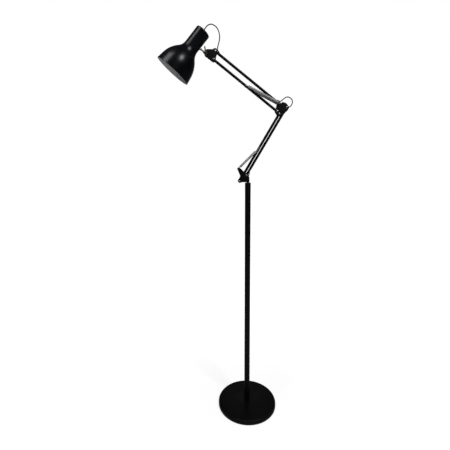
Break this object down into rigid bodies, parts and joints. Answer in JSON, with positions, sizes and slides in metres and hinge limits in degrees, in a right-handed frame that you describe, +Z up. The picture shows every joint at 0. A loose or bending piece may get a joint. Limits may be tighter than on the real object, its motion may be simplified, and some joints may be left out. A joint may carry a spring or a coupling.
{
  "type": "adjustable arm floor lamp",
  "caption": "Floor lamp with a round weighted base, a straight post, spring-balanced parallelogram arms and a tilting, turning bell shade.",
  "frame": {"origin": "on the floor under the post, where the post's axis meets the plane that the base stands on", "axes": "+Z up along the post; the arms lie in the XZ plane, with the lower arm leaning to +X and the shade out to -X; -Y is the wing nut's side"},
  "size_m": [0.53, 0.2614, 1.6232],
  "materials": {
    "black_paint": "semi-gloss black paint",
    "shade_paint": "satin blue-black paint outside, white enamel inside",
    "ballast_iron": "rough cast",
    "floor_pad": "matt foam rubber",
    "black_rubber": "matt",
    "zinc_steel": "zinc plated",
    "black_oxide_steel": "black oxide",
    "bright_steel": "nickel plated",
    "chrome_stem": "bright chrome",
    "spring_steel": "drawn and plated wire",
    "black_nylon": "moulded nylon",
    "wing_nut_black": "black plated",
    "holder_plastic": "moulded phenolic",
    "brass_thread": "bright",
    "lead_sheath": "soft PVC sheath",
    "opal_glass": "opal",
    "bulb_cap_aluminium": "bright rolled"
  },
  "bodies": {
    "stand": {"base_cover": "black_paint", "base_weight": "ballast_iron", "base_pad": "floor_pad", "base_nipple": "zinc_steel", "base_nut": "zinc_steel", "base_washer": "zinc_steel", "cord_gland": "black_rubber", "post_plug": "zinc_steel", "post": "black_paint", "post_bush": "black_nylon", "stand_cord": "lead_sheath"},
    "swivel": {"spigot": "black_oxide_steel", "spigot_clip": "black_oxide_steel", "bracket_foot": "black_paint", "base_plate_front": "black_paint", "base_plate_rear": "black_paint", "base_rivets": "bright_steel", "horn_pins": "black_oxide_steel", "swivel_cord": "lead_sheath", "base_cord": "lead_sheath", "lower_spring_front": "spring_steel", "lower_spring_rear": "spring_steel"},
    "lower_main": {"lower_main_rod": "black_paint", "lower_main_bushes": "black_nylon", "lower_cord": "lead_sheath"},
    "lower_link": {"lower_link_rod": "black_paint", "lower_link_bushes": "black_nylon", "lower_spring_pin": "bright_steel"},
    "elbow": {"elbow_plate_front": "black_paint", "elbow_plate_rear": "black_paint", "elbow_rivets": "bright_steel", "elbow_pin": "bright_steel", "elbow_cord_a": "lead_sheath", "elbow_cord_b": "lead_sheath", "upper_spring_front": "spring_steel", "upper_spring_rear": "spring_steel"},
    "upper_main": {"upper_main_rod": "black_paint", "upper_main_bushes": "black_nylon", "upper_cord": "lead_sheath"},
    "upper_link": {"upper_link_rod": "black_paint", "upper_link_bushes": "black_nylon", "upper_spring_pin": "bright_steel"},
    "head": {"head_plate_front": "black_paint", "head_plate_rear": "black_paint", "head_rivets": "bright_steel", "tilt_bolt": "bright_steel", "tilt_washer": "zinc_steel", "head_cord_a": "lead_sheath"},
    "wing_nut": {"wing_nut": "wing_nut_black"},
    "tilt_block": {"tilt_block": "bright_steel", "head_cord_b": "lead_sheath"},
    "shade": {"shade": "shade_paint", "stem": "chrome_stem", "stem_nut": "zinc_steel", "cord_grip": "black_rubber", "lampholder": "holder_plastic", "socket_shell": "brass_thread", "head_cord_c": "lead_sheath", "bulb_glass": "opal_glass", "bulb_cap": "bulb_cap_aluminium"}
  },
  "joints": [
    {"name": "base_swivel", "type": "hinge", "parent": "stand", "child": "swivel", "pos_m": [0, 0, 1.016], "axis": [0, 0, 1], "range_deg": [-170, 170]},
    {"name": "lower_arm", "type": "hinge", "parent": "swivel", "child": "lower_main", "pos_m": [-0.006, 0, 1.046], "axis": [0, 1, 0], "range_deg": [-60, 2], "deforming": ["base_cord", "lower_spring_front", "lower_spring_rear"]},
    {"name": "lower_link_pivot", "type": "hinge", "parent": "swivel", "child": "lower_link", "pos_m": [-0.03422, 0, 1.02207], "axis": [0, 1, 0], "range_deg": [-60, 2]},
    {"name": "elbow_level", "type": "hinge", "parent": "lower_main", "child": "elbow", "pos_m": [0.15176, 0, 1.31169], "axis": [0, 1, 0], "range_deg": [-2, 60], "deforming": ["elbow_cord_a"]},
    {"name": "upper_arm", "type": "hinge", "parent": "elbow", "child": "upper_main", "pos_m": [0.12224, 0, 1.32795], "axis": [0, 1, 0], "range_deg": [-45, 35], "deforming": ["elbow_cord_b", "upper_spring_front", "upper_spring_rear"]},
    {"name": "upper_link_pivot", "type": "hinge", "parent": "elbow", "child": "upper_link", "pos_m": [0.11484, 0, 1.29826], "axis": [0, 1, 0], "range_deg": [-45, 35]},
    {"name": "head_level", "type": "hinge", "parent": "upper_main", "child": "head", "pos_m": [-0.12835, 0, 1.52374], "axis": [0, 1, 0], "range_deg": [-35, 45], "deforming": ["head_cord_a"]},
    {"name": "head_tilt", "type": "hinge", "parent": "head", "child": "tilt_block", "pos_m": [-0.16575, 0, 1.51604], "axis": [0, 1, 0], "range_deg": [-40, 35], "deforming": ["head_cord_b"]},
    {"name": "shade_swivel", "type": "hinge", "parent": "tilt_block", "child": "shade", "pos_m": [-0.16575, 0, 1.51604], "axis": [-0.7593, 0, 0.6508], "range_deg": [-45, 45], "deforming": ["head_cord_c"]},
    {"name": "wing_nut_turn", "type": "hinge", "parent": "head", "child": "wing_nut", "pos_m": [-0.16575, 0, 1.51604], "axis": [0, 1, 0], "range_deg": [-20, 160]}
  ],
  "couplings": [
    {"joint": "lower_link_pivot", "follows": "lower_arm", "ratio": 1},
    {"joint": "elbow_level", "follows": "lower_arm", "ratio": -1},
    {"joint": "upper_link_pivot", "follows": "upper_arm", "ratio": 1},
    {"joint": "head_level", "follows": "upper_arm", "ratio": -1}
  ]
}
